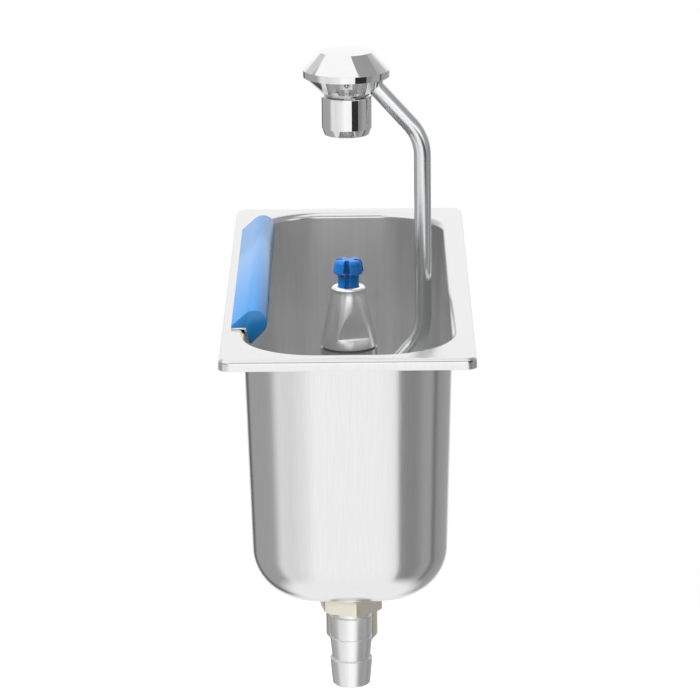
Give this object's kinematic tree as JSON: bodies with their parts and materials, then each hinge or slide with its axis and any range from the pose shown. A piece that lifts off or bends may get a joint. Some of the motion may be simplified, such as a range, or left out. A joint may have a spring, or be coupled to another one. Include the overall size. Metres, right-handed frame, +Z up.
{
  "type": "dipper well",
  "caption": "Drop-in dipper well: deep steel basin with a press-to-rinse jet, an overhead spray head on a bent tube, a wiper bar along one rim, a drain and a water inlet.",
  "frame": {"origin": "centre of the counter cut-out, level with the counter top that the rim's lip stands on", "axes": "+X to the user's right across the well, +Y away from the user along it, +Z up"},
  "size_m": [0.11, 0.27, 0.2798],
  "materials": {
    "basin_steel": "satin, brushed",
    "bright_steel": "fine satin",
    "chrome": "polished",
    "nickel": "satin nickel plate",
    "brass": "turned",
    "bar_blue": "satin",
    "plunger_blue": "gloss",
    "rubber": "matt"
  },
  "bodies": {
    "basin_assembly": {"basin": "basin_steel", "wiper_angle": "bright_steel", "wiper_bar": "bar_blue", "valve_body": "nickel", "body_gasket": "rubber", "inlet_washer": "rubber", "inlet_locknut": "nickel", "inlet_coupling": "nickel", "nozzle_cone": "bright_steel", "nozzle_seal": "rubber", "valve_spring": "bright_steel", "spring_seat": "brass", "rinse_tube": "bright_steel", "tube_nut": "bright_steel", "tube_olive": "brass", "spray_head": "chrome", "head_collar": "chrome", "spray_plate": "bright_steel", "head_seal": "rubber", "drain_body": "bright_steel", "drain_gasket": "rubber", "drain_seal": "rubber", "drain_washer": "nickel", "drain_locknut": "nickel", "hose_tail": "bright_steel"},
    "plunger_assembly": {"spray_plunger": "plunger_blue", "valve_rod": "bright_steel", "valve_poppet": "brass", "poppet_seal": "rubber"},
    "strainer": {"drain_strainer": "bright_steel"}
  },
  "joints": [
    {"name": "plunger_press", "type": "slide", "parent": "basin_assembly", "child": "plunger_assembly", "axis": [0, 0, -1], "range_m": [0, 0.0045], "stiffness_N_per_m": 600, "springref_m": -0.005, "deforming": ["valve_spring"]},
    {"name": "strainer_lift", "type": "slide", "parent": "basin_assembly", "child": "strainer", "axis": [0, 0, 1], "range_m": [0, 0.03]}
  ]
}
